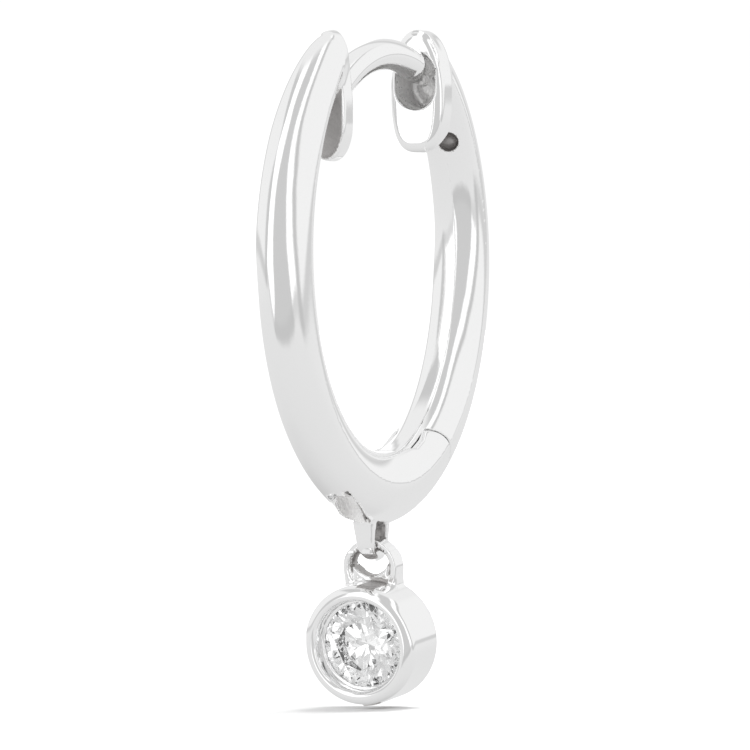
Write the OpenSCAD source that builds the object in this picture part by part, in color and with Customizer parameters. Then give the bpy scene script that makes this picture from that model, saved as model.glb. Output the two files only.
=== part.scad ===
// Hinged hoop earring with a bezel-set drop. Millimetres.
// Z is up. The front of the hoop faces -Y, its hinged back leaf is on the +Y side, and X runs across the hoop.
// The origin is on the ear post, straight above the middle of the hoop, where the ear lobe carries the earring.

/* [Hoop] */
// Clear width inside the hoop, front to back
hoop_in_w = 8.86; // [8.6:0.02:9.4]
// Clear height of the whole oval inside the hoop
hoop_in_h = 10.08; // [9.8:0.02:10.6]
// Thickness of the hoop at the bottom, inner face to outer face
bar_t = 1.82; // [1.7:0.01:2]
// Widest breadth of the hoop bar
bar_w = 1.52; // [1.4:0.01:1.7]
// Breadth of the flat on the inner face of the bar
flat_w = 0.6; // [0.4:0.01:0.75]

/* [Ear post] */
// Thickness of the post wire
post_d = 0.78; // [0.7:0.01:0.84]
// Radius of the arch of the post
post_arch_r = 4.94; // [4.9:0.01:5]
// How far the crown of the arch lies behind the middle of the hoop
post_crown_y = 0.7; // [0.65:0.01:0.75]
// Thickness of the post at the rounded tip
tip_d = 0.5; // [0.4:0.01:0.56]
// Length of the tapered tip
tip_len = 0.55; // [0.45:0.01:0.6]
// Downward slope of the tapered tip
tip_slope = 26; // [22:1:28]
// How far in front of the back pad's face the tip begins
tip_lead = 0.22; // [0.18:0.01:0.24]

/* [Pads] */
// Distance from the middle of the hoop to the front pad's face
front_pad_y = 2.16; // [2.05:0.01:2.3]
// Breadth of the front pad
front_pad_w = 1.06; // [1:0.01:1.2]
// Height of the front pad above its widest place
front_pad_up = 2.22; // [2.1:0.01:2.24]
// Height of the front pad below its widest place
front_pad_down = 0.98; // [0.9:0.01:1.05]
// Thickness of the front pad
front_pad_t = 0.62; // [0.55:0.01:0.7]
// How far the front pad's widest place lies below the post's axis at the pad's face
front_pad_low = 0.83; // [0.78:0.01:0.88]
// Distance from the middle of the hoop to the back pad's face
back_pad_y = 2.4; // [2.3:0.01:2.5]
// Breadth of the back pad
back_pad_w = 1.5; // [1.4:0.01:1.6]
// Height of the back pad
back_pad_h = 3.1; // [2.9:0.02:3.3]
// Thickness of the back pad
back_pad_t = 0.86; // [0.75:0.01:0.95]
// How far the middle of the back pad lies below the post's axis at the pad's face
back_pad_low = 0.57; // [0.5:0.01:0.62]
// Rounding of the pad edges
pad_round = 0.14; // [0.08:0.01:0.2]
// Breadth of the catch hole that takes the post's tip
catch_w = 1.1; // [1:0.01:1.2]
// Play of the post's tip under the top of the catch hole
catch_play = 0.05; // [0.03:0.01:0.1]
// Room below the post's tip in the catch hole
catch_room = 0.65; // [0.5:0.01:0.75]
// Depth of the catch hole
catch_depth = 0.74; // [0.7:0.01:0.75]

/* [Hinge] */
// Angle of the hinge pin round the hoop, from the bottom towards the back
hinge_angle = 24; // [20:0.5:28]
// Thickness of the hinge pin
pin_d = 0.6; // [0.5:0.01:0.66]
// Breadth of the knuckle between the two cheeks
knuckle_w = 0.64; // [0.56:0.01:0.68]
// Reach of the knuckle's tongue past the pin, on the inner side
tongue_len = 1.15; // [1.1:0.01:1.2]
// Gap between knuckle and cheeks, and round their rounded ends
hinge_gap = 0.04; // [0.03:0.005:0.05]
// Running clearance of the knuckle on its pin, on the radius
pin_gap = 0.03; // [0.02:0.005:0.04]
// Fixing clearance of the pin in the cheeks, on the radius
pin_fit = 0.01; // [0.008:0.001:0.015]

/* [Drop loop] */
// Outside breadth of the loop under the hoop, front to back
loop_w = 1; // [0.96:0.01:1.06]
// Thickness of the loop's strip at its sides
loop_t = 0.2; // [0.16:0.01:0.22]
// Thickness of the strip where the drop hangs
loop_seat_t = 0.35; // [0.3:0.01:0.38]
// Breadth of the strip at the hoop
loop_strip_w = 0.57; // [0.5:0.01:0.66]
// Breadth of the strip at its lowest end
loop_tip_w = 0.43; // [0.36:0.01:0.5]
// How far the loop reaches below the hoop
loop_drop = 0.92; // [0.88:0.01:0.98]
// How far the middle of the loop lies in front of the middle of the hoop
loop_ahead = 0.08; // [0:0.01:0.1]
// How far the loop's rounded top reaches up into the hoop
loop_root = 0.6; // [0.5:0.01:0.7]
// Breadth of the slot in the hoop's underside in front of the loop
slot_w = 0.46; // [0.36:0.01:0.5]
// Depth of that slot at its middle
slot_depth = 0.42; // [0.3:0.01:0.5]
// Radius of the slot's curved floor
slot_r = 2.1; // [1.8:0.05:2.3]
// Angle of the slot's middle round the hoop, from the bottom towards the front
slot_angle = 15; // [14:0.5:16]
// Turn of the slot off the hoop's own direction
slot_turn = 10; // [0:1:12]
// Distance of the slot's middle from the middle of the bar's breadth
slot_off = 0.25; // [0:0.01:0.28]

/* [Bail] */
// Width of the round eye of the bail
eye_d = 0.96; // [0.92:0.01:1.02]
// Thickness of the bail's wall, and half its depth front to back
bail_t = 0.24; // [0.2:0.01:0.26]
// Height of the middle of the eye above the middle of the bezel
eye_h = 1.84; // [1.8:0.01:1.95]
// Distance of the middle of the bail behind the bezel's front
bail_back = 1.3; // [1.25:0.01:1.4]
// Play between bail and loop, and between stone and seat
play = 0.02; // [0.01:0.005:0.03]
// Backward lean of the drop as it hangs at rest
drop_tilt = 7.9; // [6:0.1:11]

/* [Bezel] */
// Outside diameter of the bezel
bezel_d = 3.05; // [2.9:0.01:3.2]
// Depth of the bezel, front to back
bezel_depth = 1.66; // [1.6:0.01:1.8]
// Diameter of the bezel's front opening
mouth_d = 2.29; // [2.2:0.01:2.4]
// Rounding of the front rim's outer edge
rim_round = 0.24; // [0.15:0.01:0.3]
// Rounding of the front rim's inner edge
mouth_round = 0.07; // [0.04:0.01:0.1]
// Rounding of the bezel's back edge
back_round = 0.17; // [0.1:0.01:0.22]
// Diameter of the opening in the bezel's back
back_hole_d = 1; // [0.8:0.05:1.3]

/* [Stone] */
// Diameter of the stone
stone_d = 2.16; // [2.04:0.01:2.2]
// Depth of the stone's girdle behind the bezel's front rim
girdle_depth = 0.5; // [0.45:0.01:0.55]
// Width of the table, as a share of the diameter
table_share = 0.57; // [0.53:0.01:0.62]
// Slope of the crown facets
crown_angle = 34.5; // [32:0.1:36]
// Slope of the pavilion facets
pavilion_angle = 40.8; // [40:0.1:41.5]
// Thickness of the girdle, as a share of the diameter
girdle_share = 0.03; // [0.02:0.005:0.04]
// Reach of the bezel's lip over the stone's edge
lip_reach = 0.03; // [0.02:0.005:0.04]

/* [Hidden] */
GOLD = [0.86, 0.86, 0.85];
STONE = [0.9, 0.93, 0.96];
ACROSS = 20;
$fn = 48;

// The post's axis passes through the origin, so the middle of the hoop lies this far below it.
hoop_z = -sqrt(pow(post_arch_r, 2) - pow(post_crown_y, 2));
in_a = hoop_in_w / 2;
in_b = hoop_in_h / 2;

// Shares of the bar's thickness round the hoop: angle from the bottom, front share, back share.
BAR_TAPER = [
    [0, 1, 1],
    [50, 0.96, 0.96],
    [90, 0.87, 0.87],
    [115, 0.79, 0.83],
    [135, 0.74, 0.81],
    [145, 0.71, 0.77],
    [150, 0.67, 0.725],
    [155, 0.57, 0.67],
    [160, 0.43, 0.6],
    [165, 0.3, 0.52]
];
FRONT = 1;
BACK = 2;
// Shares of the bar's breadth round the hoop: angle from the bottom, front share, back share.
BAR_BREADTH = [
    [0, 1, 1],
    [90, 0.96, 0.96],
    [120, 0.93, 0.93],
    [135, 0.84, 0.91],
    [145, 0.71, 0.88],
    [150, 0.6, 0.84],
    [155, 0.48, 0.78],
    [160, 0.37, 0.7],
    [165, 0.3, 0.6]
];
bar_end = 160;
bar_step = 5;

// The bar's section, from its inner flat out to its crown: share of the breadth, share of the thickness.
belly = 0.42;
crown_power = 1.8;
FLANK_STEPS = 5;
CROWN_STEPS = 7;
flat_share = flat_w / bar_w;
half_section = concat(
    [for (i = [0 : FLANK_STEPS - 1])
        let (u = 90 * i / FLANK_STEPS)
        [flat_share + (1 - flat_share) * sin(u), belly * (1 - cos(u))]],
    [for (i = [0 : CROWN_STEPS])
        let (u = 90 * i / CROWN_STEPS)
        [pow(cos(u), 2 / crown_power), belly + (1 - belly) * pow(sin(u), 2 / crown_power)]]
);
half_count = len(half_section);
bar_section = concat(
    half_section,
    [for (i = [half_count - 2 : -1 : 0]) [-half_section[i][0], half_section[i][1]]]
);

// A point [y, z] of the oval inner face, at an angle from the bottom that is positive towards the back.
function inner_at(a) = [in_a * sin(a), hoop_z - in_b * cos(a)];
// The direction that points straight out of the hoop there.
function out_at(a) = let (v = [sin(a) / in_a, -cos(a) / in_b]) v / norm(v);
function share_at(a, table, column) = lookup(abs(a), [for (row = table) [row[0], row[column]]]);
function thickness_at(a, column) = bar_t * share_at(a, BAR_TAPER, column);
function breadth_at(a, column) = bar_w * share_at(a, BAR_BREADTH, column);
function bar_ring(a, column) =
    let (foot = inner_at(a), out = out_at(a), t = thickness_at(a, column), half = breadth_at(a, column) / 2)
    [for (q = bar_section) [q[0] * half, foot[0] + out[0] * q[1] * t, foot[1] + out[1] * q[1] * t]];

// The hinge pin's place, in the middle of the bar's thickness.
hinge_out = out_at(hinge_angle);
hinge_r = thickness_at(hinge_angle, BACK) / 2;
pin_at = inner_at(hinge_angle) + hinge_out * hinge_r;
hinge_turn = atan2(hinge_out[0], -hinge_out[1]);
hinge_reach = 2.2 * bar_t;
hinge_sweep = 20;
// The cheeks' round ends are a little over, and the knuckle's a little under, half the bar's thickness.
cheek_over = 0.02;
knuckle_under = 0.03;
cheek_r = hinge_r + cheek_over;
knuckle_r = hinge_r - knuckle_under;

// The height of the post's axis on its arch, at a distance behind the middle of the hoop.
function arch_z(y) = hoop_z + sqrt(pow(post_arch_r, 2) - pow(y - post_crown_y, 2));

// The tapered tip of the post, and the catch hole round it.
tip_from_y = back_pad_y - tip_lead;
tip_from_z = arch_z(tip_from_y);
entry_z = tip_from_z - tip_lead * tan(tip_slope);
entry_r = (post_d - (post_d - tip_d) * tip_lead / tip_len / cos(tip_slope)) / 2;
catch_top = entry_z + entry_r / cos(tip_slope) + catch_play;
catch_low = entry_z - entry_r / cos(tip_slope) - catch_room;

front_pad_z = arch_z(-front_pad_y) - front_pad_low;
back_pad_z = entry_z - back_pad_low;

// The loop under the hoop, and the drop that hangs in it.
hoop_bottom = hoop_z - in_b - bar_t;
loop_r = loop_w / 2;
loop_low_z = hoop_bottom - loop_drop + loop_r;
loop_top_z = hoop_bottom + loop_root - loop_r;
loop_hole_r = loop_r - loop_t;
loop_seat_z = hoop_bottom - loop_drop + loop_seat_t;
eye_r = eye_d / 2;
bail_ring_r = eye_r + bail_t;
swing_z = loop_seat_z + play + bail_t;
bezel_low = bail_ring_r + eye_h;
bezel_r = bezel_d / 2;

// The stone's facets.
stone_r = stone_d / 2;
table_r = stone_r * table_share;
star_r = stone_r * (table_share * cos(22.5) + 1.05) / 2;
crown_h = (stone_r - table_r) * tan(crown_angle);
star_h = (stone_r - star_r * cos(22.5)) * tan(crown_angle);
girdle_t = stone_d * girdle_share;
lower_r = stone_r * 0.23;
lower_depth = girdle_t + (stone_r - lower_r * cos(22.5)) * tan(pavilion_angle);
culet_depth = girdle_t + stone_r * tan(pavilion_angle);

// A closed solid through a list of rings that have the same number of points.
module skin(rings) {
    n = len(rings[0]);
    last = len(rings) - 1;
    polyhedron(
        points = [for (ring = rings) for (p = ring) p],
        faces = concat(
            [[for (i = [0 : n - 1]) i]],
            [for (k = [0 : last - 1]) for (i = [0 : n - 1]) [k * n + (i + 1) % n, k * n + i, (k + 1) * n + i]],
            [for (k = [0 : last - 1]) for (i = [0 : n - 1])
                [k * n + (i + 1) % n, (k + 1) * n + i, (k + 1) * n + (i + 1) % n]],
            [[for (i = [n - 1 : -1 : 0]) last * n + i]]
        )
    );
}

// The bar from one angle round to another.
module bar(from, to, column) {
    steps = ceil((to - from) / bar_step);
    skin([for (k = [0 : steps]) bar_ring(from + (to - from) * k / steps, column)]);
}

// A flat shape drawn in Y and Z, given a breadth along X.
module plate(w) {
    rotate([90, 0, 90]) linear_extrude(w, center = true) children();
}

// A cylinder along X on the hinge pin's axis.
module on_pin(r, w) {
    translate([0, pin_at[0], pin_at[1]])
        rotate([0, 90, 0])
            cylinder(r = r, h = w, center = true);
}

// Flat shapes drawn about the hinge pin, turned with the bar and given a breadth along X. Seen from the side, the
// leaf lies at positive x and the hoop's inner side at positive y.
module about_pin(w) {
    translate([0, pin_at[0], pin_at[1]])
        rotate([hinge_turn, 0, 0])
            plate(w) children();
}
module leaf_side() {
    translate([0, -hinge_reach / 2]) square(hinge_reach);
}
module cheek_side() {
    translate([-hinge_reach, -hinge_reach / 2]) square(hinge_reach);
}
module tongue(gap) {
    translate([-tongue_len - gap, -gap]) square([tongue_len + gap, hinge_reach]);
}

// An upright oval pad with rounded edges, from one distance behind the hoop's middle to another.
PAD_SIDES = 40;
ROUND_STEPS = 3;
pad_power = 2.1;
function eased(v) = sign(v) * pow(abs(v), 2 / pad_power);
function pad_ring(y, inset, w, up, down, z) =
    [for (i = [0 : PAD_SIDES - 1])
        let (u = 360 * i / PAD_SIDES)
        [eased(cos(u)) * (w / 2 - inset), y, z - eased(sin(u)) * ((u > 180 ? up : down) - inset)]];
module pad(y0, y1, w, up, down, z) {
    edge = [for (k = [0 : ROUND_STEPS])
        let (u = 90 * k / ROUND_STEPS)
        [pad_round * (1 - cos(u)), pad_round * (1 - sin(u))]];
    skin(concat(
        [for (k = [0 : ROUND_STEPS]) pad_ring(y0 + edge[k][0], edge[k][1], w, up, down, z)],
        [for (k = [ROUND_STEPS : -1 : 0]) pad_ring(y1 - edge[k][0], edge[k][1], w, up, down, z)]
    ));
}

// The front bar, cut off behind its pad's face and rounded into two cheeks at the hinge.
module front_bar() {
    difference() {
        bar(-bar_end, hinge_angle + hinge_sweep, FRONT);
        translate([-ACROSS / 2, -front_pad_y - pad_round, hoop_z])
            cube([ACROSS, ACROSS, ACROSS]);
        about_pin(ACROSS)
            difference() {
                leaf_side();
                circle(r = cheek_r);
            }
        about_pin(knuckle_w + 2 * hinge_gap) {
            circle(r = hinge_r + hinge_gap);
            tongue(hinge_gap);
        }
        on_pin(pin_d / 2 + pin_fit, ACROSS);
        slot();
    }
}

// The short slot in the hoop's underside, cut as by a wheel.
module slot() {
    out = out_at(-slot_angle);
    centre = inner_at(-slot_angle) + out * (thickness_at(slot_angle, FRONT) - slot_depth + slot_r);
    translate([slot_off, centre[0], centre[1]])
        rotate([0, 90, slot_turn])
            cylinder(r = slot_r, h = slot_w, center = true);
}

module front_pad() {
    pad(-front_pad_y - front_pad_t, -front_pad_y, front_pad_w, front_pad_up, front_pad_down, front_pad_z);
}

// The arched post, from inside the front pad to its tapered and rounded tip. Each of its stations holds the
// distance behind the hoop's middle, the height, the slope and the radius.
POST_SIDES = 32;
TIP_STEPS = 4;
function on_arch(a) =
    [post_crown_y + post_arch_r * cos(a), hoop_z + post_arch_r * sin(a), 90 - a, post_d / 2];
function beyond_arch(run, r) =
    [tip_from_y + run * cos(tip_slope), tip_from_z - run * sin(tip_slope), tip_slope, r];
function post_ring(station) =
    [for (i = [0 : POST_SIDES - 1])
        let (u = 360 * i / POST_SIDES, rise = station[3] * sin(u))
        [station[3] * cos(u), station[0] - rise * sin(station[2]), station[1] - rise * cos(station[2])]];
module ear_post() {
    root_angle = acos((-front_pad_y - front_pad_t / 2 - post_crown_y) / post_arch_r);
    tip_angle = acos((tip_from_y - post_crown_y) / post_arch_r);
    arch_steps = ceil((root_angle - tip_angle) / bar_step);
    skin([for (station = concat(
        [for (k = [0 : arch_steps]) on_arch(root_angle + (tip_angle - root_angle) * k / arch_steps)],
        [beyond_arch(tip_len, tip_d / 2)],
        [for (k = [1 : TIP_STEPS])
            let (u = 80 * k / TIP_STEPS)
            beyond_arch(tip_len + tip_d / 2 * sin(u), tip_d / 2 * cos(u))]
    )) post_ring(station)]);
}

// The loop's outline seen from the side, and its tapered tongue seen from the front.
module loop_side() {
    difference() {
        union() {
            translate([0, loop_low_z]) circle(r = loop_r);
            translate([0, loop_top_z]) circle(r = loop_r);
            translate([-loop_r, loop_low_z]) square([loop_w, loop_top_z - loop_low_z]);
        }
        translate([0, loop_seat_z + loop_hole_r]) circle(r = loop_hole_r);
        translate([-loop_hole_r, loop_seat_z + loop_hole_r])
            square([2 * loop_hole_r, hoop_bottom - loop_seat_z]);
    }
}

module loop_front() {
    tip_z = loop_low_z - loop_r + loop_tip_w / 2;
    translate([0, tip_z]) circle(d = loop_tip_w);
    polygon([
        [-loop_tip_w / 2, tip_z],
        [loop_tip_w / 2, tip_z],
        [loop_strip_w / 2, hoop_bottom],
        [loop_strip_w / 2, loop_top_z + loop_r],
        [-loop_strip_w / 2, loop_top_z + loop_r],
        [-loop_strip_w / 2, hoop_bottom]
    ]);
}

module drop_loop() {
    intersection() {
        plate(ACROSS) translate([-loop_ahead, 0]) loop_side();
        rotate([90, 0, 0]) linear_extrude(ACROSS, center = true) loop_front();
    }
}

module front_hoop() {
    color(GOLD) {
        front_bar();
        front_pad();
        ear_post();
        drop_loop();
    }
}

// The hole that the post's tip enters, open at the back pad's face.
module catch_hole() {
    r = catch_w / 2;
    for (z = [catch_low + r, catch_top - r])
        translate([0, back_pad_y - pad_round, z])
            rotate([-90, 0, 0])
                cylinder(r = r, h = catch_depth + pad_round);
    translate([-r, back_pad_y - pad_round, catch_low + r])
        cube([catch_w, catch_depth + pad_round, catch_top - catch_low - catch_w]);
}

module back_leaf() {
    side_x = (knuckle_w + ACROSS) / 2;
    color(GOLD)
        difference() {
            union() {
                difference() {
                    bar(hinge_angle - hinge_sweep, bar_end, BACK);
                    translate([-ACROSS / 2, back_pad_y + pad_round - ACROSS, hoop_z])
                        cube([ACROSS, ACROSS, ACROSS]);
                }
                pad(back_pad_y, back_pad_y + back_pad_t, back_pad_w, back_pad_h / 2, back_pad_h / 2, back_pad_z);
            }
            catch_hole();
            for (x = [-side_x, side_x])
                translate([x, 0, 0])
                    about_pin(ACROSS) {
                        circle(r = cheek_r + hinge_gap);
                        cheek_side();
                    }
            about_pin(knuckle_w + 2 * hinge_gap)
                difference() {
                    cheek_side();
                    circle(r = knuckle_r);
                    tongue(0);
                }
            on_pin(pin_d / 2 + pin_gap, ACROSS);
        }
}

module hinge_pin() {
    color(GOLD)
        intersection() {
            on_pin(pin_d / 2, ACROSS);
            bar(hinge_angle - hinge_sweep, hinge_angle + hinge_sweep, FRONT);
        }
}

// Places a child drawn about the drop's swing axis, with the bezel straight below it, as the drop hangs.
module hung() {
    translate([0, -loop_ahead, swing_z])
        rotate([drop_tilt, 0, 0])
            children();
}

// Turns a child drawn round Z, with its front at z = 0 and its depth along -z, to face -Y on the bezel's axis.
module in_bezel() {
    translate([0, -bail_back, -bezel_low])
        rotate([90, 0, 0])
            children();
}

function arc(centre, r, from, to) =
    [for (k = [0 : 6]) let (u = from + (to - from) * k / 6) centre + r * [cos(u), sin(u)]];

module bezel() {
    mouth_r = mouth_d / 2;
    seat_r = stone_r + play;
    lip_r = stone_r - lip_reach;
    seat_z = -girdle_depth - girdle_t;
    back_r = back_hole_d / 2;
    rotate_extrude($fn = 96)
        polygon(concat(
            [
                [back_r, -bezel_depth],
                [bezel_r - back_round, -bezel_depth]
            ],
            arc([bezel_r - back_round, back_round - bezel_depth], back_round, -75, 0),
            arc([bezel_r - rim_round, -rim_round], rim_round, 0, 90),
            arc([mouth_r + mouth_round, -mouth_round], mouth_round, 90, 180),
            [
                [mouth_r, -girdle_depth + 5 * lip_reach],
                [lip_r, -girdle_depth + 3 * lip_reach],
                [lip_r, -girdle_depth + 2 * lip_reach],
                [seat_r, -girdle_depth + lip_reach],
                [seat_r, seat_z],
                [back_r, seat_z - (seat_r - back_r) * tan(pavilion_angle)]
            ]
        ));
}

module bail() {
    translate([0, 0, -bail_ring_r])
        rotate([90, 0, 0])
            rotate_extrude($fn = 64)
                intersection() {
                    translate([bail_ring_r, 0]) circle(r = bail_t);
                    translate([0, -bail_t]) square([bail_ring_r, 2 * bail_t]);
                }
}

module drop_setting() {
    color(GOLD)
        hung() {
            in_bezel() bezel();
            difference() {
                bail();
                in_bezel()
                    translate([0, 0, -bezel_depth])
                        cylinder(r = bezel_r - back_round, h = bezel_depth);
            }
        }
}

// A round brilliant, table up, girdle's upper edge at z = 0.
module brilliant() {
    corners = concat(
        [for (i = [0 : 7]) [table_r * cos(45 * i), table_r * sin(45 * i), crown_h]],
        [for (i = [0 : 7]) [star_r * cos(45 * i + 22.5), star_r * sin(45 * i + 22.5), star_h]],
        [for (z = [0, -girdle_t]) for (i = [0 : 15]) [stone_r * cos(22.5 * i), stone_r * sin(22.5 * i), z]],
        [for (i = [0 : 7]) [lower_r * cos(45 * i + 22.5), lower_r * sin(45 * i + 22.5), -lower_depth]],
        [[0, 0, -culet_depth]]
    );
    hull()
        polyhedron(points = corners, faces = [[for (i = [0 : len(corners) - 1]) i]]);
}

module stone() {
    color(STONE)
        hung()
            in_bezel()
                translate([0, 0, -girdle_depth])
                    brilliant();
}

front_hoop();
back_leaf();
hinge_pin();
drop_setting();
stone();
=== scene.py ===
"""The looks of a hinged hoop earring with a bezel-set drop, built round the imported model. Shapes are in millimetres."""
from math import atan2, cos, pi, radians, sin, sqrt, tan

import bpy
import numpy as np
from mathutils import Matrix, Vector


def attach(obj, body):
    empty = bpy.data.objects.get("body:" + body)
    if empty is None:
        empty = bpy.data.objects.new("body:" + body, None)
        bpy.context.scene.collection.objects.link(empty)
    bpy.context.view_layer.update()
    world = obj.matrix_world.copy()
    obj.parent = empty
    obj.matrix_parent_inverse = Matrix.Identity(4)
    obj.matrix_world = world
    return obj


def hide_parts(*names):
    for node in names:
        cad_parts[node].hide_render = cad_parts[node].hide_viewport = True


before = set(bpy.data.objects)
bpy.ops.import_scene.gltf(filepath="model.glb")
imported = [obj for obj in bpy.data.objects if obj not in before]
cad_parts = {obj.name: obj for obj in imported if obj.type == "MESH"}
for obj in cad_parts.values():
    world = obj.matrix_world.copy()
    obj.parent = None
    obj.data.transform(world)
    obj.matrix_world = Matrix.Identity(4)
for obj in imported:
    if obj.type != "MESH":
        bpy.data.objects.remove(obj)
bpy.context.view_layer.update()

MM = 0.001

# The hoop's inner half depth and half height, and the bar's section: its crown faces out, its flat face in.
HOOP_IN = (4.43, 5.04)
BAR_T, BAR_W = 1.82, 1.52
FLAT_W = {"front": 0.6, "back": 0.3}
BELLY, CROWN_POWER, FLANK_POWER, DOME = 0.42, 1.8, 1.7, 0.018

# The ear post, and the tip that goes on past its end into the catch hole.
POST_D, POST_R, POST_CROWN = 0.78, 4.94, 0.7
TIP_D, TIP_LEN, TIP_SLOPE, TIP_LEAD, TIP_MORE = 0.5, 0.55, radians(26), 0.22, 0.3
HOOP_Z = -sqrt(POST_R ** 2 - POST_CROWN ** 2)

# The two pads. The back one has squarer lower corners, and a hidden back that slants away from the leaf.
PAD_POWER, PAD_ROUND = 2.1, 0.14
FRONT_PAD_Y, FRONT_PAD_W, FRONT_PAD_T = 2.16, 1.06, 0.62
FRONT_PAD_UP, FRONT_PAD_DOWN, FRONT_PAD_LOW = 2.22, 0.98, 0.83
BACK_PAD_Y, BACK_PAD_W, BACK_PAD_H, BACK_PAD_T, BACK_PAD_LOW = 2.4, 1.5, 3.1, 0.86, 0.57
BACK_PAD_LOW_POWER, BACK_PAD_ROUND, BACK_SLANT, BACK_SLANT_AT = 2.8, 0.26, 0.75, (3.07, -1.86)
CATCH_W, CATCH_PLAY, CATCH_ROOM, CATCH_DEPTH, CATCH_MORE = 1.1, 0.05, 0.65, 0.74, 0.3
PIT_AT, PIT_R = (0.28, 3.72, -2.1), (0.26, 0.4, 0.25)

# The hinge. Its cheeks are worn lower than the knuckle, and the fork is cut deeper at the outside for the open leaf.
HINGE_ANGLE, PIN_D, KNUCKLE_W, TONGUE_LEN = radians(24), 0.6, 0.64, 1.15
HINGE_GAP, PIN_GAP, PIN_FIT, CHEEK_OVER, KNUCKLE_UNDER, KNUCKLE_MORE = 0.04, 0.03, 0.01, 0.02, 0.03, 0.02
PIN_SUNK, CHEEK_WEAR, CHEEK_REACH, FORK_ROOM = 0.11, 0.13, 2.0, 0.09

# The loop under the hoop, and the slot in front of it.
LOOP_W, LOOP_T, LOOP_SEAT_T, LOOP_STRIP_W, LOOP_TIP_W = 1.0, 0.2, 0.35, 0.57, 0.43
LOOP_DROP, LOOP_AHEAD, LOOP_ROOT = 0.92, 0.08, 0.6
SLOT_W, SLOT_DEPTH, SLOT_R, SLOT_OFF = 0.46, 0.42, 2.1, 0.25
SLOT_ANGLE, SLOT_TURN = radians(-15), radians(10)

# The drop: its bail, its bezel and the stone's seat.
EYE_D, BAIL_T, EYE_H, BAIL_BACK, PLAY, DROP_TILT = 0.96, 0.24, 1.84, 1.3, 0.02, radians(7.9)
LEG_FOOT, SADDLE_LOW, SADDLE_HALF = 0.4, 0.92, 0.5
BEZEL_D, BEZEL_DEPTH, MOUTH_D, BACK_HOLE_D = 3.05, 1.66, 2.29, 1.0
RIM_ROUND, MOUTH_ROUND, BACK_ROUND = 0.34, 0.1, 0.17
STONE_D, GIRDLE_DEPTH, GIRDLE_SHARE, PAVILION, LIP_REACH = 2.16, 0.5, 0.03, radians(40.8), 0.03

# Shares of the bar's thickness and breadth round the hoop: angle from the bottom, front share, back share.
BAR_TAPER = [(0, 1, 1), (50, 0.96, 0.96), (90, 0.87, 0.87), (115, 0.79, 0.83), (135, 0.74, 0.81), (145, 0.71, 0.77),
             (150, 0.67, 0.725), (155, 0.57, 0.67), (160, 0.43, 0.6), (165, 0.3, 0.52)]
BAR_BREADTH = [(0, 1, 1), (90, 0.96, 0.96), (120, 0.93, 0.93), (135, 0.84, 0.91), (145, 0.71, 0.88), (150, 0.6, 0.84),
               (155, 0.48, 0.78), (160, 0.37, 0.7), (165, 0.3, 0.6)]
EASE_STEP, EASE_OVER = 0.5, 15


def eased(rows, column):
    """A table's shares at every half degree round the hoop, without kinks."""
    angles = np.arange(-180, 180 + EASE_STEP, EASE_STEP)
    shares = np.interp(np.abs(angles), [row[0] for row in rows], [row[column] for row in rows])
    window = np.hanning(2 * EASE_OVER + 1)
    shares = np.convolve(np.pad(shares, EASE_OVER, mode="edge"), window / window.sum(), mode="valid")
    return np.radians(angles), shares


TAPER = {leaf: eased(BAR_TAPER, column) for leaf, column in (("front", 1), ("back", 2))}
BREADTH = {leaf: eased(BAR_BREADTH, column) for leaf, column in (("front", 1), ("back", 2))}


# A solid is given by each point's distance from its surface, which is less than zero inside it.
def join(a, b, k):
    """Two solids made one, with a fillet about k wide."""
    h = np.clip(0.5 + 0.5 * (b - a) / k, 0, 1)
    return b * (1 - h) + a * h - k * h * (1 - h)


def keep(a, b, k):
    """What two solids share, with its new edges rounded about k wide."""
    return -join(-a, -b, k)


def cut(a, b, k):
    """The first solid without the second, with its new edges rounded about k wide."""
    return keep(a, -b, k)


def rounded(a, b, radius):
    """What two solids share, with the edge between them rounded to a radius."""
    a, b = a + radius, b + radius
    return np.minimum(np.maximum(a, b), 0) + np.hypot(np.maximum(a, 0), np.maximum(b, 0)) - radius


def lengthened(over, *slopes):
    """A distance from a value that is 1 on the surface and its slopes there."""
    return (over - 1) / np.sqrt(sum(s * s for s in slopes) + 1e-9)


GRAIN_CELLS = 24
GRAIN = np.random.default_rng(7).uniform(-1, 1, (GRAIN_CELLS,) * 3)
CORNERS = [(i, j, k) for i in (0, 1) for j in (0, 1) for k in (0, 1)]


def grain(x, y, z, size):
    """Soft lumps of about that size, from -1 to 1, as a casting has."""
    at = [np.asarray(c) / size for c in (x, y, z)]
    low = [np.floor(c).astype(int) for c in at]
    part = [c - f for c, f in zip(at, low)]
    part = [p * p * (3 - 2 * p) for p in part]
    total = 0
    for corner in CORNERS:
        share_x, share_y, share_z = (p if far else 1 - p for p, far in zip(part, corner))
        cell = tuple((f + far) % GRAIN_CELLS for f, far in zip(low, corner))
        total = total + share_x * share_y * share_z * GRAIN[cell]
    return total


def round_the_hoop(y, z):
    """The angle round the hoop from its bottom, and how far out from the inner face a point lies."""
    w = z - HOOP_Z
    a = np.arctan2(y / (HOOP_IN[0] + 0.8), -w / (HOOP_IN[1] + 0.8))
    for _ in range(5):
        s, c = np.sin(a), np.cos(a)
        off_y, off_z = y - HOOP_IN[0] * s, w + HOOP_IN[1] * c
        along_y, along_z = HOOP_IN[0] * c, HOOP_IN[1] * s
        miss = off_y * along_y + off_z * along_z
        slope = -along_y ** 2 - along_z ** 2 - off_y * HOOP_IN[0] * s + off_z * HOOP_IN[1] * c
        a = a - miss / np.minimum(slope, -1.0)
    s, c = np.sin(a), np.cos(a)
    out_y, out_z = s / HOOP_IN[0], -c / HOOP_IN[1]
    size = np.sqrt(out_y ** 2 + out_z ** 2)
    return a, ((y - HOOP_IN[0] * s) * out_y + (w + HOOP_IN[1] * c) * out_z) / size


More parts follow.
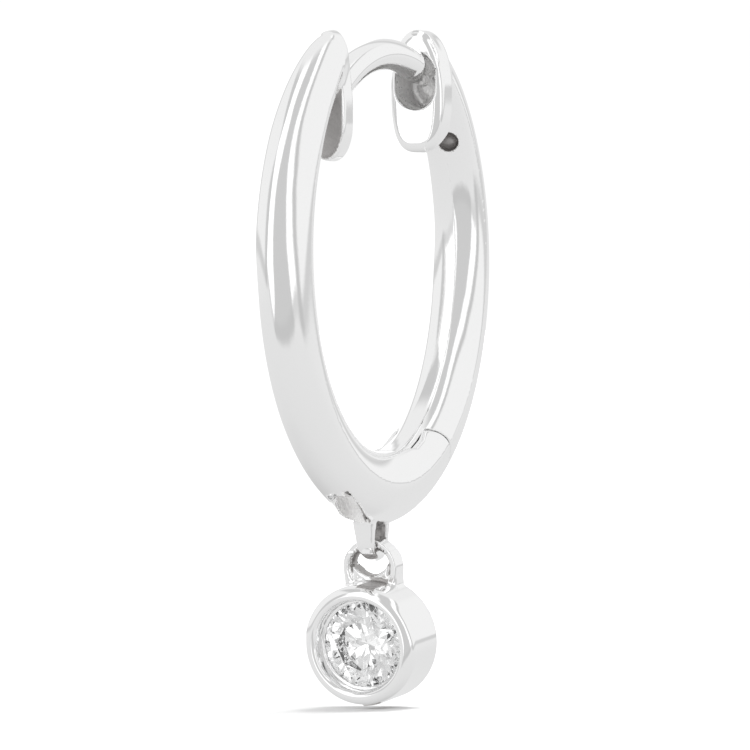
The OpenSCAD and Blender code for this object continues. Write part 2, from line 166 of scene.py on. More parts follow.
def bar(x, y, z, leaf):
    """The bar all the way round the hoop: a crown outside its belly, and flanks down to a flat face inside it."""
    a, q = round_the_hoop(y, z)
    t = BAR_T * np.interp(a, *TAPER[leaf])
    half = BAR_W / 2 * np.interp(a, *BREADTH[leaf])
    flat = FLAT_W[leaf] / BAR_W
    v, u = q / t, np.abs(x) / half
    w = np.abs(v - BELLY)
    w_out, w_in = w / (1 - BELLY), w / BELLY + DOME * u ** 2 / (flat ** 2 + 0.5 * u ** 2)
    u_in = np.maximum(u - flat, 0) / (1 - flat)
    n, m = CROWN_POWER, FLANK_POWER
    r_out = (u ** n + w_out ** n) ** (1 / n) + 1e-6
    r_in = (u_in ** m + w_in ** m) ** (1 / m) + 1e-6
    crown = lengthened(r_out, (u / r_out) ** (n - 1) / half, (w_out / r_out) ** (n - 1) / (t * (1 - BELLY)))
    flank = lengthened(r_in, (u_in / r_in) ** (m - 1) / (half * (1 - flat)), (w_in / r_in) ** (m - 1) / (t * BELLY))
    return np.where(v > BELLY, crown, flank)


def hoop_point(a, leaf, share):
    """A point in the bar, at an angle round the hoop and a share of the thickness, and the direction out."""
    out = np.array([sin(a) / HOOP_IN[0], -cos(a) / HOOP_IN[1]])
    out /= np.linalg.norm(out)
    t = BAR_T * float(np.interp(a, *TAPER[leaf]))
    return np.array([HOOP_IN[0] * sin(a), HOOP_Z - HOOP_IN[1] * cos(a)]) + out * t * share, out, t


PIN_AT, HINGE_OUT, HINGE_T = hoop_point(HINGE_ANGLE, "back", 0.5)
HINGE_R, HINGE_TURN = HINGE_T / 2, atan2(HINGE_OUT[0], -HINGE_OUT[1])


def about_pin(y, z):
    """Places seen along the hinge pin: towards the leaf, towards the hoop's inner side, and the distance."""
    dy, dz = y - PIN_AT[0], z - PIN_AT[1]
    p = dy * cos(HINGE_TURN) + dz * sin(HINGE_TURN)
    q = -dy * sin(HINGE_TURN) + dz * cos(HINGE_TURN)
    return p, q, np.hypot(p, q)


def pad(x, y, z, y0, y1, w, up, down, middle, low_power=PAD_POWER, edge=PAD_ROUND):
    """An upright plate with an egg's outline, from y0 to y1."""
    dz = z - middle
    h = np.where(dz > 0, up, down)
    u, v = np.abs(x) / (w / 2), np.abs(dz) / h
    n = np.where(dz > 0, PAD_POWER, low_power)
    r = (u ** n + v ** n) ** (1 / n) + 1e-6
    side = lengthened(r, (u / r) ** (n - 1) / (w / 2), (v / r) ** (n - 1) / h)
    return rounded(side, np.abs(y - (y0 + y1) / 2) - (y1 - y0) / 2, edge)


def arch_z(y):
    """The height of the ear post's middle line."""
    return HOOP_Z + sqrt(POST_R ** 2 - (y - POST_CROWN) ** 2)


TIP_Y = BACK_PAD_Y - TIP_LEAD
TIP_Z = arch_z(TIP_Y)
ENTRY_Z = TIP_Z - TIP_LEAD * tan(TIP_SLOPE)
ENTRY_R = (POST_D - (POST_D - TIP_D) * TIP_LEAD / TIP_LEN / cos(TIP_SLOPE)) / 2
CATCH_TOP = ENTRY_Z + ENTRY_R / cos(TIP_SLOPE) + CATCH_PLAY
CATCH_END = ENTRY_Z - ENTRY_R / cos(TIP_SLOPE) - CATCH_ROOM
FRONT_PAD_Z = arch_z(-FRONT_PAD_Y) - FRONT_PAD_LOW
FRONT_PAD_FACE = -FRONT_PAD_Y - FRONT_PAD_T
BACK_PAD_Z = ENTRY_Z - BACK_PAD_LOW


def post(x, y, z):
    dy, dz = y - POST_CROWN, z - HOOP_Z
    ring = np.hypot(x, np.hypot(dy, dz) - POST_R) - POST_D / 2
    from_y = -FRONT_PAD_Y - FRONT_PAD_T / 2
    arch = np.maximum(ring, np.maximum(np.maximum(from_y - y, y - TIP_Y), HOOP_Z - z))
    s = np.clip((y - TIP_Y) * cos(TIP_SLOPE) - (z - TIP_Z) * sin(TIP_SLOPE), 0, TIP_LEN + TIP_MORE)
    off = np.sqrt(x ** 2 + (y - TIP_Y - s * cos(TIP_SLOPE)) ** 2 + (z - TIP_Z + s * sin(TIP_SLOPE)) ** 2)
    return join(arch, off - (POST_D + (TIP_D - POST_D) * s / TIP_LEN) / 2, 0.06)


HOOP_LOW = HOOP_Z - HOOP_IN[1] - BAR_T
LOOP_LOW = HOOP_LOW - LOOP_DROP + LOOP_W / 2
LOOP_TOP = HOOP_LOW + LOOP_ROOT - LOOP_W / 2
LOOP_HOLE_R = LOOP_W / 2 - LOOP_T
LOOP_SEAT = HOOP_LOW - LOOP_DROP + LOOP_SEAT_T


def loop_hole(y, z):
    near = np.clip(z, LOOP_SEAT + LOOP_HOLE_R, HOOP_LOW + LOOP_HOLE_R)
    return np.hypot(y + LOOP_AHEAD, z - near) - LOOP_HOLE_R


def drop_loop(x, y, z):
    """The strip bent into a loop. Its front is a slightly crowned tongue that leans back towards its tip."""
    near = np.clip(z, LOOP_LOW, LOOP_TOP)
    side = np.hypot(y + LOOP_AHEAD, z - near) - LOOP_W / 2 + 0.3 * x ** 2
    side = side + 0.24 * np.clip(HOOP_LOW - 0.22 - z, -0.35, 0.8) * np.clip(0.5 - 3 * (y + LOOP_AHEAD), 0, 1)
    side = cut(side, loop_hole(y, z) + 0.02 * grain(x, y, z, 0.13), 0.05)
    tip = LOOP_LOW - LOOP_W / 2 + LOOP_TIP_W / 2
    half = LOOP_TIP_W / 2 + (LOOP_STRIP_W - LOOP_TIP_W) / 2 * np.clip((z - tip) / (HOOP_LOW - tip), 0, 1)
    front = np.hypot(np.abs(x), np.minimum(z - tip, 0)) - half
    return keep(side, front, 0.07)


SLOT_AT = hoop_point(SLOT_ANGLE, "front", 1)
SLOT_CENTRE = SLOT_AT[0] + SLOT_AT[1] * (SLOT_R - SLOT_DEPTH)


def by_slot(x, y, z):
    """Places seen from the slot: across it, along it, outside its round floor, and half its width there."""
    dx, dy, dz = x - SLOT_OFF, y - SLOT_CENTRE[0], z - SLOT_CENTRE[1]
    across = dx * cos(SLOT_TURN) + dy * sin(SLOT_TURN)
    along = -dx * sin(SLOT_TURN) + dy * cos(SLOT_TURN)
    return across, along, np.hypot(along, dz) - SLOT_R, SLOT_W / 2 * np.interp(along, (-1.1, 0.5), (0.35, 1))


def slot(x, y, z):
    """The slot, which narrows towards the front, with a slit along the foot of its right wall."""
    across, _, floor, half = by_slot(x, y, z)
    rough = 0.016 * grain(x, y, z, 0.15)
    groove = keep(floor, np.abs(across) - half, 0.1) + rough
    slit = np.maximum(floor - 0.13, np.abs(across - half + 0.05 + rough) - 0.045)
    return np.minimum(groove, slit)


def front_hoop(x, y, z):
    whole_bar = bar(x, y, z, "front")
    metal = keep(whole_bar, np.minimum(y + FRONT_PAD_Y + PAD_ROUND, z - HOOP_Z), 0.06)
    p, q, r = about_pin(y, z)
    metal = keep(metal, np.minimum(np.minimum(p, r - HINGE_R - CHEEK_OVER), HOOP_Z - z), 0.03)
    worn = q - HINGE_R + CHEEK_WEAR - 0.5 * np.maximum(-p - 0.45, 0) - 0.3 * np.maximum(p, 0)
    metal = keep(metal, np.where(r < CHEEK_REACH, worn, -1), 0.06)
    floor = r - HINGE_R - HINGE_GAP - FORK_ROOM * np.clip(-2 * q, 0, 1)
    fork = np.minimum(floor, np.maximum(np.maximum(-p - TONGUE_LEN - HINGE_GAP, p), -q - HINGE_GAP))
    fork = np.maximum(fork, z - HOOP_Z)
    metal = cut(metal, np.maximum(np.abs(x) - KNUCKLE_W / 2 - HINGE_GAP, fork), 0.03)
    bore = np.maximum(r - PIN_D / 2 - PIN_FIT, whole_bar + PIN_SUNK)
    metal = np.maximum(metal, -bore)
    metal = cut(metal, slot(x, y, z), 0.05)
    plate = pad(x, y, z, FRONT_PAD_FACE, -FRONT_PAD_Y, FRONT_PAD_W, FRONT_PAD_UP, FRONT_PAD_DOWN, FRONT_PAD_Z)
    metal = join(metal, plate, 0.16)
    metal = join(metal, post(x, y, z), 0.09)
    return join(metal, drop_loop(x, y, z), 0.06)


def catch_outline(x, z):
    """How far outside the catch hole's outline a point lies."""
    r = CATCH_W / 2
    near = np.clip(z, CATCH_END + r, CATCH_TOP - r)
    return np.hypot(x, z - near) - r


def catch_hole(x, y, z):
    rough = 0.03 * grain(x, y, z, 0.26) + 0.006 * grain(x, y, z, 0.07)
    hole = keep(catch_outline(x, z), y - BACK_PAD_Y - CATCH_DEPTH - CATCH_MORE, 0.2)
    return hole + rough * (y > BACK_PAD_Y + 0.05)


def pad_back(y, z):
    """How far behind the back pad's slanted back a point lies, measured along the hoop's depth."""
    return y - BACK_SLANT_AT[0] - BACK_SLANT * (z - BACK_SLANT_AT[1])


def pit(x, y, z):
    """The dip that the file left behind the pad's lower corner."""
    off = sum(((c - at) / r) ** 2 for c, at, r in zip((x, y, z), PIT_AT, PIT_R))
    return (np.sqrt(off) - 1) * 0.24


def back_leaf(x, y, z):
    metal = bar(x, y, z, "back")
    metal = keep(metal, np.minimum(BACK_PAD_Y + PAD_ROUND - y, z - HOOP_Z), 0.06)
    p, q, r = about_pin(y, z)
    past_knuckle = np.minimum(np.minimum(-p, r - HINGE_R + KNUCKLE_UNDER), np.maximum(-p - TONGUE_LEN, -q))
    past_cheeks = np.maximum(-p, HINGE_R + CHEEK_OVER + HINGE_GAP - r)
    away = np.minimum(np.maximum(np.abs(x) - KNUCKLE_W / 2 - KNUCKLE_MORE, past_knuckle), past_cheeks)
    metal = keep(metal, np.minimum(away, HOOP_Z - z), 0.03)
    metal = np.maximum(metal, PIN_D / 2 + PIN_GAP - r)
    plate = pad(x, y, z, BACK_PAD_Y, BACK_PAD_Y + BACK_PAD_T, BACK_PAD_W, BACK_PAD_H / 2, BACK_PAD_H / 2, BACK_PAD_Z,
                BACK_PAD_LOW_POWER, BACK_PAD_ROUND)
    plate = keep(plate, 0.8 * pad_back(y, z), 0.05)
    metal = cut(join(metal, plate, 0.05), catch_hole(x, y, z), 0.07)
    return cut(metal, pit(x, y, z), 0.03)


def hinge_pin(x, y, z):
    return np.maximum(about_pin(y, z)[2] - PIN_D / 2, bar(x, y, z, "front") + PIN_SUNK + PIN_FIT)


SWING_Z = LOOP_SEAT + PLAY + BAIL_T
RING_R = EYE_D / 2 + BAIL_T
BEZEL_LOW = RING_R + EYE_H


def in_drop(x, y, z):
    """Places in the drop's own upright frame: radius and depth in the bezel, then radius, depth and height in the
    bail."""
    dy, dz = y + LOOP_AHEAD, z - SWING_Z
    up = -dy * sin(DROP_TILT) + dz * cos(DROP_TILT)
    back = dy * cos(DROP_TILT) + dz * sin(DROP_TILT)
    return np.hypot(x, up + BEZEL_LOW), back + BAIL_BACK, np.hypot(x, up + RING_R), back, up


def bezel(rho, depth):
    """The cup, with a mouth above the girdle, a seat for the girdle, a cone for the pavilion and a hole behind."""
    edge = np.where(depth < BEZEL_DEPTH / 2, RIM_ROUND, BACK_ROUND)
    cup = rounded(rho - BEZEL_D / 2, np.abs(depth - BEZEL_DEPTH / 2) - BEZEL_DEPTH / 2, edge)
    cup = cut(cup, keep(rho - MOUTH_D / 2, depth - GIRDLE_DEPTH + 2.5 * LIP_REACH, 0.04), 2 * MOUTH_ROUND)
    seat_r, girdle_end = STONE_D / 2 + PLAY, GIRDLE_DEPTH + GIRDLE_SHARE * STONE_D
    throat = np.maximum(rho - STONE_D / 2 + LIP_REACH, depth - GIRDLE_DEPTH)
    seat = np.maximum(np.maximum(rho - seat_r, depth - girdle_end), GIRDLE_DEPTH - LIP_REACH - depth)
    cone = (depth - girdle_end - (seat_r - rho) * tan(PAVILION)) * cos(PAVILION)
    cone = np.maximum(np.maximum(cone, rho - seat_r), GIRDLE_DEPTH - depth)
    for space in (throat, seat, cone, rho - BACK_HOLE_D / 2):
        cup = cut(cup, space, 0.03)
    return cup


def drop_setting(x, y, z):
    """The bezel under a bail, which is half a round ring with straight legs and a saddle between their feet."""
    rho, depth, ring, side, up = in_drop(x, y, z)
    rough = 0.02 * grain(x, y, z, 0.12) * (ring < EYE_D / 2 + 0.12)
    bail = keep(np.hypot(ring - RING_R, side) - BAIL_T + rough, ring - RING_R, 0.05)
    outer = np.hypot(x, np.maximum(up + RING_R, 0)) - RING_R
    legs = np.maximum(outer, np.maximum(up + RING_R - LEG_FOOT, EYE_D / 2 + 0.09 - ring))
    bail = join(bail, keep(legs, np.abs(side) - BAIL_T, 0.06), 0.05)
    saddle = np.maximum(up + SADDLE_LOW - 1.2 * x ** 2, np.abs(x) - SADDLE_HALF)
    saddle = keep(saddle, np.abs(side) - BAIL_T + 0.02, 0.1) + 0.015 * grain(x, y, z, 0.12)
    bail = np.maximum(join(bail, saddle, 0.05), BEZEL_D / 2 - BACK_ROUND - rho)
    return join(bezel(rho, depth), np.maximum(bail, -up - BEZEL_LOW), 0.07)


def net(solid, low, high, cell):
    """A closed net of quads near where a solid's distance is zero, between two corners."""
    low = np.array(low, float)
    counts = np.ceil((np.array(high) - low) / cell).astype(int) + 1
    x, y, z = (low[i] + cell * np.arange(counts[i]) for i in range(3))
    values = solid(x[:, None, None], y[None, :, None], z[None, None, :]) * np.ones(counts)
    inside = values < 0
    filled = np.zeros(counts - 1, np.int8)
    for c in CORNERS:
        filled += inside[tuple(slice(c[i], counts[i] - 1 + c[i]) for i in range(3))]
    cells = np.argwhere((filled > 0) & (filled < 8))
    number = np.full(counts - 1, -1)
    number[tuple(cells.T)] = np.arange(len(cells))
    total, crossings = np.zeros((len(cells), 3)), np.zeros(len(cells))
    for c in np.array(CORNERS):
        for step in np.eye(3, dtype=int):
            if (c * step).any():
                continue
            here, there = values[tuple((cells + c).T)], values[tuple((cells + c + step).T)]
            crossed = (here < 0) != (there < 0)
            share = np.where(crossed, here / np.where(crossed, here - there, 1), 0)
            total += crossed[:, None] * (c + share[:, None] * step)
            crossings += crossed

    faces = []
    for i in range(3):
        j, k = (i + 1) % 3, (i + 2) % 3
        start, end = [slice(1, -1)] * 3, [slice(1, -1)] * 3
        start[i], end[i] = slice(0, -1), slice(1, None)
        here, there = inside[tuple(start)], inside[tuple(end)]
        at = np.argwhere(here != there)
        outward = here[tuple(at.T)]
        ring = []
        for dj, dk in ((0, 0), (1, 0), (1, 1), (0, 1)):
            cell_at = at.copy()
            cell_at[:, j] += dj
            cell_at[:, k] += dk
            ring.append(number[tuple(cell_at.T)])
        quads = np.stack(ring, axis=1)
        quads[~outward] = quads[~outward][:, ::-1]
        faces.append(quads)
    return low + cell * (cells + total / crossings[:, None]), np.concatenate(faces)


def slopes(solid, p, step=0.004):
    """The value and the gradient of a solid's distance at each point."""
    ahead = [solid(*(p[:, j] + step * (j == i) for j in range(3))) for i in range(3)]
    behind = [solid(*(p[:, j] - step * (j == i) for j in range(3))) for i in range(3)]
    return solid(*p.T), np.stack([(a - b) / (2 * step) for a, b in zip(ahead, behind)], axis=1)


def skin(name, solid, low, high, cell, cast=None):
    """A solid's surface as a smooth mesh. Cast gives how rough each of its points is left, and where painted shade
    darkens its cast skin.
    """
    p, faces = net(solid, low, high, cell)
    for _ in range(4):
        value, slope = slopes(solid, p)
        move = slope * (value / np.maximum((slope ** 2).sum(axis=1), 0.05))[:, None]
        length = np.linalg.norm(move, axis=1, keepdims=True)
        p -= move * np.minimum(1, 0.4 * cell / np.maximum(length, 1e-9))
    slope = slopes(solid, p)[1]
    normals = slope / np.maximum(np.linalg.norm(slope, axis=1, keepdims=True), 1e-9)

    mesh = bpy.data.meshes.new(name)
    mesh.from_pydata((p * MM).tolist(), [], faces.tolist())
    mesh.polygons.foreach_set("use_smooth", np.ones(len(faces), bool))
    mesh.materials.append(WHITE_GOLD)
    if cast is not None:
        # Besides roughness, this attribute carries painted shade where its value passes 1.
        roughness = mesh.attributes.new(CAST_AND_SHADE_ATTRIBUTE, "FLOAT", "POINT")
        roughness.data.foreach_set("value", cast(*p.T).astype(np.float32))
    mesh.update()
    mesh.normals_split_custom_set_from_vertices(normals.tolist())
    piece = bpy.data.objects.new(name, mesh)
    bpy.context.scene.collection.objects.link(piece)
    return piece


# Finishes.
class Wire:
    """A node's output, with Python's operators for its maths."""

    def __init__(self, sheet, socket):
        self.sheet, self.socket = sheet, socket

    def maths(self, operation, *values):
        return self.sheet.add("Math", {"operation": operation}, dict(enumerate(values)))

    def __add__(self, other): return self.maths("ADD", self, other)
    def __radd__(self, other): return self.maths("ADD", other, self)
    def __sub__(self, other): return self.maths("SUBTRACT", self, other)
    def __rsub__(self, other): return self.maths("SUBTRACT", other, self)
    def __mul__(self, other): return self.maths("MULTIPLY", self, other)
    def __rmul__(self, other): return self.maths("MULTIPLY", other, self)
    def __truediv__(self, other): return self.maths("DIVIDE", self, other)


class Sheet:
    """A node tree, cleared and ready to be filled."""

    def __init__(self, owner):
        owner.use_nodes = True
        self.tree = owner.node_tree
        self.tree.nodes.clear()

    def add(self, kind, settings=None, values=None, out=0):
        """A node with its settings, and with numbers or other nodes' outputs put into its inputs."""
        node = self.tree.nodes.new("ShaderNode" + kind)
        for name, setting in (settings or {}).items():
            if name == "curve":
                node.color_ramp.interpolation = setting
            elif name == "stops":
                ramp = node.color_ramp
                while len(ramp.elements) < len(setting):
                    ramp.elements.new(0.5)
                for stop, (at, shade) in zip(ramp.elements, setting):
                    stop.position, stop.color = at, (shade, shade, shade, 1)
            else:
                setattr(node, name, setting)
        for name, value in (values or {}).items():
            if isinstance(value, Wire):
                self.tree.links.new(value.socket, node.inputs[name])
            else:
                node.inputs[name].default_value = value
        return Wire(self, node.outputs[out]) if len(node.outputs) else None

    def tone(self, factor, low, high):
        """A colour between two others."""
        low, high = (shade if isinstance(shade, Wire) else (*shade, 1) for shade in (low, high))
        return self.add("Mix", {"data_type": "RGBA"}, {0: factor, 6: low, 7: high}, out=2)

    def noise(self, place, scale, detail=2.0, roughness=0.5):
        return self.add("TexNoise", {}, {"Vector": place, "Scale": scale, "Detail": detail, "Roughness": roughness})

    def clamped(self, value, less):
        """A value less a number, held between 0 and 1."""
        return self.add("Math", {"operation": "SUBTRACT", "use_clamp": True}, {0: value, 1: less})


CAST_AND_SHADE_ATTRIBUTE = "left_as_cast"
HIGHEST_LUMP = 0.00002


def white_gold():
    """Rhodium-bright gold with wheel marks in its polish. Its attribute goes from 0, polished, to 1, the cast skin,
    and to 2, the cast skin darkened with painted shade where it lies in recesses and gaps."""
    material = bpy.data.materials.new("white_gold")
    sheet = Sheet(material)
    place = sheet.add("TexCoord", out=3)
    left = sheet.add("Attribute", {"attribute_name": CAST_AND_SHADE_ATTRIBUTE}, out=2)
    # Above 1 the attribute is painted shade on the cast skin.
    cast, painted_shade = sheet.clamped(left, 0.0), sheet.clamped(left, 1.0)
    clouds = sheet.noise(place, 420.0, 3.0)
    stretched = sheet.add("Mapping", {}, {"Vector": place, "Scale": (5.0, 1.0, 1.0)})
    marks = sheet.noise(stretched, 9000.0, 3.0, 0.6)
    lumps = sheet.noise(place, 11000.0, 4.0, 0.62)
    # The third colours, 0.34 and 0.6, are painted shade for cast skin in recesses and gaps.
    dull = sheet.tone(painted_shade, sheet.tone(cast, (0.94, 0.94, 0.94), (0.74, 0.735, 0.73)), (0.34, 0.33, 0.325))
    bright = sheet.tone(painted_shade, sheet.tone(cast, (0.98, 0.98, 0.98), (0.93, 0.925, 0.92)), (0.6, 0.585, 0.575))
    height = marks * (1 - cast) * 0.09 + lumps * cast
    surface = sheet.add("BsdfPrincipled", {}, {
        "Base Color": sheet.tone(clouds * 0.5 + lumps * 0.5, dull, bright),
        "Metallic": 1 - (cast - painted_shade) * 0.5,
        "Roughness": marks * (cast * 0.15 + 0.05) + cast * 0.17 + painted_shade * 0.1 + 0.03,
        "Normal": sheet.add("Bump", {}, {"Strength": 0.33, "Distance": HIGHEST_LUMP, "Height": height})})
    sheet.add("OutputMaterial", {}, {"Surface": surface})
    return material


WHITE_GOLD = white_gold()


def cut_stone():
    """A clear stone as bright as diamond, with the faintest wisps."""
    material = bpy.data.materials.new("cut_stone")
    sheet = Sheet(material)
    wisps = sheet.noise(sheet.add("TexCoord", out=3), 900.0, 4.0)
    surface = sheet.add("BsdfPrincipled", {}, {
        "Base Color": sheet.tone(wisps, (0.985, 0.99, 1.0), (1.0, 1.0, 0.995)),
        "Roughness": wisps * 0.004, "IOR": 2.42, "Transmission Weight": 1.0})
    sheet.add("OutputMaterial", {}, {"Surface": surface})
    return material


def hoop_cast_and_painted_shade(x, y, z):
    """Where the front piece keeps its cast skin, in the slot, and where painted shade darkens that skin: the slot's
    right wall and narrow end, a painted shadow line along the slot's right edge, the loop's inside, and the front
    pad's face under the bar."""
    depth = -bar(x, y, z, "front")
    across, along, _, half = by_slot(x, y, z)
    to_slot = slot(x, y, z)
    # Value 1 is the slot's cast skin; value 2 is painted shade on its right wall and narrow end.
    cast = ((np.abs(to_slot) < 0.04) & (depth > 0.03)) * np.where((across > 0.1) | (along < -0.5), 2, 1)
    # A painted shadow line along the slot's right edge, standing in for the shade down in the gap.
    painted_edge_shadow = 2.2 * np.clip(1.2 - np.abs(across - half) / 0.06, 0, 1)
    near_slot = (to_slot < 0.06) & (z < HOOP_LOW + 0.6) & (depth > -0.02)
    cast = np.maximum(cast, painted_edge_shadow * near_slot)
    # Painted shade inside the loop and on the front pad's face under the bar.
    loop_painted_shade = (np.abs(loop_hole(y, z)) < 0.04) & (np.abs(x) < LOOP_STRIP_W / 2 - 0.04) & (depth < 0) & (z > LOOP_SEAT)
    pad_painted_shade = (y < FRONT_PAD_FACE + 0.03) & (y > FRONT_PAD_FACE - 0.08) & (depth < -0.03)
    pad_painted_shade &= (z < -0.85) & (z > FRONT_PAD_Z - FRONT_PAD_DOWN - 0.3)
    return np.where(loop_painted_shade | pad_painted_shade, 2, cast)


def leaf_cast_and_painted_shade(x, y, z):
    """Where the leaf keeps its cast skin: inside the catch hole, and in the pit behind the pad, where painted shade
    darkens it.
    """
    in_hole = (catch_outline(x, z) < 0.03) & (y > BACK_PAD_Y + 0.12) & (y < BACK_PAD_Y + CATCH_DEPTH + 0.4)
    pit_painted_shade = (pad_back(y, z) > -0.02) & (y < 4.2) & (z > -2.4) & (z < -1.5) & (pit(x, y, z) < 0.012)
    # Value 1 is the catch hole's cast skin; value 2 is painted shade in the pit.
    return np.where(pit_painted_shade, 2, in_hole)


def drop_cast_and_painted_shade(x, y, z):
    """Where the drop keeps its cast skin, all of it darkened with painted shade: inside the bail's eye, and beside its
    right foot.
    """
    rho, _, ring, side, up = in_drop(x, y, z)
    eye_painted_shade = (ring < EYE_D / 2 + 0.1) & (np.abs(side) < BAIL_T - 0.06)
    foot_painted_shade = (np.abs(x - 0.25) < 0.25) & (up < -0.93) & (rho < BEZEL_D / 2 + 0.1)
    # Value 2 is painted shade on the cast skin.
    return 2 * ((eye_painted_shade | foot_painted_shade) & (rho > BEZEL_D / 2 - 0.05))


# Pieces.
HOOP_CELL, SMALL_CELL = 0.045, 0.04


def placed(piece, body, node):
    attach(piece, body)
    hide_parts(node)


hoop = skin("front_hoop_polished", front_hoop, (-0.85, -6.1, -12.75), (0.85, 3.2, 0.68), HOOP_CELL, hoop_cast_and_painted_shade)
placed(hoop, "front", "front_hoop")
leaf = skin("back_leaf_polished", back_leaf, (-0.85, 0.6, -11.25), (0.85, 6.1, 0.8), HOOP_CELL, leaf_cast_and_painted_shade)
placed(leaf, "leaf", "back_leaf")
pin = skin("hinge_pin_dressed", hinge_pin, (-0.85, 1.8, -10.7), (0.85, 2.6, -9.9), SMALL_CELL)
placed(pin, "front", "hinge_pin")
drop = skin("bezel_and_bail", drop_setting, (-1.62, -1.3, -16.35), (1.62, 0.9, -11.95), SMALL_CELL, drop_cast_and_painted_shade)
placed(drop, "drop", "drop_setting")

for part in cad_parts["stone"].material_slots:
    part.material = cut_stone()


# Studio.
CAMERA_TURN = radians(25.5)
FLOOR_Z, FLOOR_RISE, FLOOR_HALF = -16.3, radians(2), 0.3


def studio():
    """A white tent with upright panels. They are laid out as a polished ball shows them from the front, where the
    places across and up run from -1 to 1."""
    world = bpy.data.worlds.new("studio")
    bpy.context.scene.world = world
    sheet = Sheet(world)
    ahead = (-sin(CAMERA_TURN), cos(CAMERA_TURN), 0)
    toward = sheet.add("TexCoord", out=0)
    half_way = sheet.add("VectorMath", {"operation": "SUBTRACT"}, {0: toward, 1: ahead})
    half_way = sheet.add("VectorMath", {"operation": "NORMALIZE"}, {0: half_way})
    across = sheet.add("VectorMath", {"operation": "DOT_PRODUCT"},
                       {0: half_way, 1: (cos(CAMERA_TURN), sin(CAMERA_TURN), 0)}, out=1)
    up = sheet.add("SeparateXYZ", {}, {0: half_way}, out=2)
    down = 0 - up

    def course(along, low, high, points):
        """A soft line through points, each with a place along and a place on the other axis."""
        stops = [((at - low) / (high - low), (value + 1) / 2) for at, value in points]
        place = (along - low) / (high - low)
        return sheet.add("ValToRGB", {"stops": stops, "curve": "CARDINAL"}, {0: place}) * 2 - 1

    def past(value, edge, soft):
        """From 0 to 1 where a value passes an edge."""
        return sheet.add("MapRange", {"interpolation_type": "SMOOTHSTEP"},
                         {"Value": value, "From Min": edge - soft / 2, "From Max": edge + soft / 2})

    def turned(level, other, share):
        return level + (other - level) * share

    # Each upright panel: how soft its left edge is, how bright the panel is, and the edge's place across at heights.
    panels = [
        (0.07, 0.58, [(-0.1, -0.62), (0.25, -0.62), (0.35, -0.54), (0.45, -0.44), (0.55, -0.46), (0.7, -0.5)]),
        (0.05, 1.15, [(-0.1, -0.5), (0.15, -0.48), (0.35, -0.46), (0.42, -0.43), (0.5, -0.3), (0.7, -0.21)]),
        (0.06, 0.6, [(-0.25, -0.25), (-0.2, -0.19), (-0.12, -0.11), (0.02, -0.14), (0.25, -0.18), (0.35, -0.13),
                     (0.45, -0.07), (0.55, -0.04), (0.7, 0.07)]),
        (0.04, 1.1, [(-0.14, 0.46), (0.02, 0.34), (0.15, 0.25), (0.25, 0.18), (0.35, 0.14), (0.45, 0.16), (0.55, 0.25),
                     (0.7, 0.32)]),
        (0.05, 0.56, [(-0.14, 0.6), (0.02, 0.5), (0.15, 0.39), (0.25, 0.33), (0.35, 0.27), (0.45, 0.3), (0.55, 0.38),
                      (0.7, 0.46)]),
    ]
    level = 0.86
    for soft, brightness, points in panels:
        edge = course(up, -0.3, 0.8, points)
        level = turned(level, brightness, past(across, edge, soft))
    level = turned(level, 0.88, past(across, edge + 0.085, 0.06))
    level = turned(level, 0.84, past(up, 0.7, 0.1))

    # The table that the object stands on, with a darker rim.
    table = course(up, -1.0, 0.0, [(-1, 0.48), (-0.9, 0.55), (-0.75, 0.66), (-0.55, 0.73), (-0.15, 0.77), (0, 0.8)])
    rim = course(across, -1.0, 1.0, [
        (-1, 0.05), (-0.8, 0.0), (-0.6, -0.07), (-0.42, -0.1), (-0.3, -0.17), (-0.2, -0.24), (-0.05, -0.255),
        (0.12, -0.245), (0.3, -0.21), (0.43, -0.16), (0.52, -0.11), (0.64, -0.12), (0.8, -0.03), (1, 0.02)])
    level = turned(level, 0.54, past(down, 0 - rim - 0.06, 0.04) * 0.75)
    level = turned(level, table, past(down, 0 - rim, 0.04))

    # The far end of the tent, which a ball shows round its edge.
    out = sheet.add("Math", {"operation": "SQRT"}, {0: across * across + up * up})
    left = past(0 - across, 0.0, 0.3)
    level = turned(level, 0.62, past(out, 0.945, 0.02) * past(up, 0.0, 0.1))
    far = past(out, past(up, 0.0, 0.2) * 0.05 + 0.915, 0.025)
    level = turned(level, left * 0.4 + 0.76, far)

    # What the camera sees directly, what the metal mirrors, and the harder contrast that the stone gathers.
    seen = sheet.add("Background", {}, {"Color": (1, 1, 1, 1), "Strength": 1.02})
    lights = sheet.add("Background", {}, {"Color": level, "Strength": 1.04})
    sparkle = sheet.add("Background", {}, {"Color": level * 1.7 - 0.4, "Strength": 1.0})
    lights = sheet.add("MixShader", {}, {0: sheet.add("LightPath", out="Is Transmission Ray"), 1: lights, 2: sparkle})
    direct = sheet.add("LightPath", out="Is Camera Ray")
    sheet.add("OutputWorld", {}, {"Surface": sheet.add("MixShader", {}, {0: direct, 1: lights, 2: seen})})


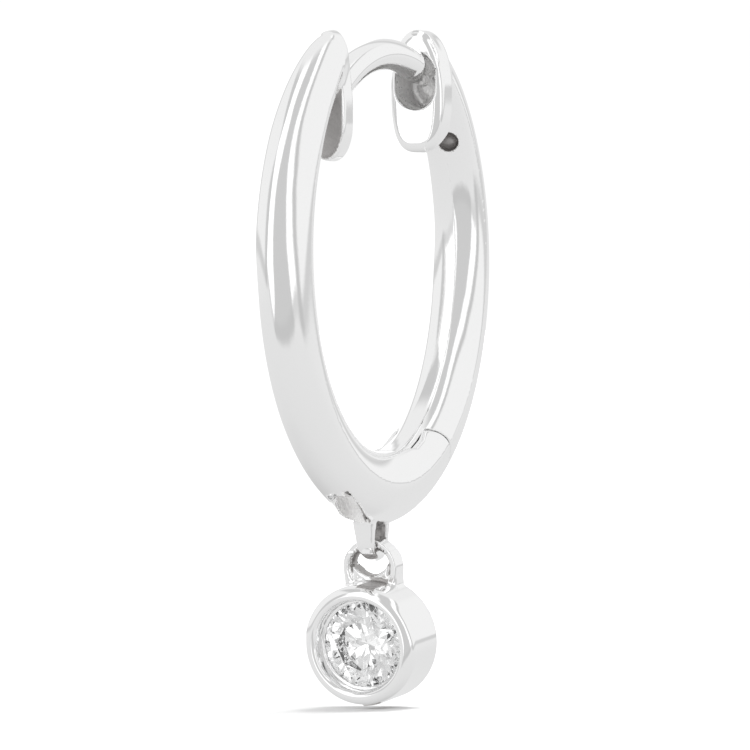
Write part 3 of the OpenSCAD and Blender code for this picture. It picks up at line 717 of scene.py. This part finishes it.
def pale_floor():
    """A sheet of white paper that rises a little towards the back."""
    mesh = bpy.data.meshes.new("pale_floor")
    r = FLOOR_HALF
    mesh.from_pydata([(-r, -r, 0), (r, -r, 0), (r, r, 0), (-r, r, 0)], [], [(0, 1, 2, 3)])
    floor = bpy.data.objects.new("pale_floor", mesh)
    floor.location.z = FLOOR_Z * MM
    floor.rotation_euler[0] = FLOOR_RISE
    floor.visible_glossy = floor.visible_transmission = False
    bpy.context.scene.collection.objects.link(floor)
    material = bpy.data.materials.new("pale_floor")
    sheet = Sheet(material)
    fibres = sheet.noise(sheet.add("TexCoord", out=3), 60.0, 5.0)
    paper = sheet.tone(fibres, (0.955, 0.955, 0.955), (0.985, 0.985, 0.985))
    surface = sheet.add("BsdfPrincipled", {}, {"Base Color": paper, "Roughness": 0.9})
    sheet.add("OutputMaterial", {}, {"Surface": surface})
    mesh.materials.append(material)


def overhead_light():
    """A wide soft box over the floor. It lights the floor; what the metal mirrors is the tent."""
    box = bpy.data.lights.new("overhead", "AREA")
    box.shape, box.size, box.energy = "DISK", 0.5, 6.5
    lamp = bpy.data.objects.new("overhead", box)
    lamp.location = (0.12, 0.3, 0.85)
    lamp.rotation_euler = Vector(lamp.location).to_track_quat("Z", "Y").to_euler()
    lamp.visible_glossy = lamp.visible_camera = lamp.visible_transmission = False
    bpy.context.scene.collection.objects.link(lamp)


def photo_camera():
    """A long lens in front of the hoop and a little to its right, level with the middle of the object."""
    away, side, height, view_height = 350.0, 0.045, -7.98, 18.75
    turn, sensor = CAMERA_TURN, 36.0
    target = Vector((cos(turn) * side, sin(turn) * side, height))
    camera = bpy.data.objects.new("camera", bpy.data.cameras.new("camera"))
    camera.location = (target + Vector((sin(turn), -cos(turn), 0)) * away) * MM
    camera.rotation_euler = (pi / 2, 0, turn)
    camera.data.lens = sensor * away / view_height
    camera.data.clip_start, camera.data.clip_end = 0.01, 10.0
    bpy.context.scene.collection.objects.link(camera)
    bpy.context.scene.camera = camera


studio()
pale_floor()
overhead_light()
photo_camera()
bpy.context.scene.view_settings.view_transform = "Standard"
# A cut stone mirrors light inside it more often than the usual limits allow.
bpy.context.scene.cycles.glossy_bounces = 12
bpy.context.scene.cycles.max_bounces = 16
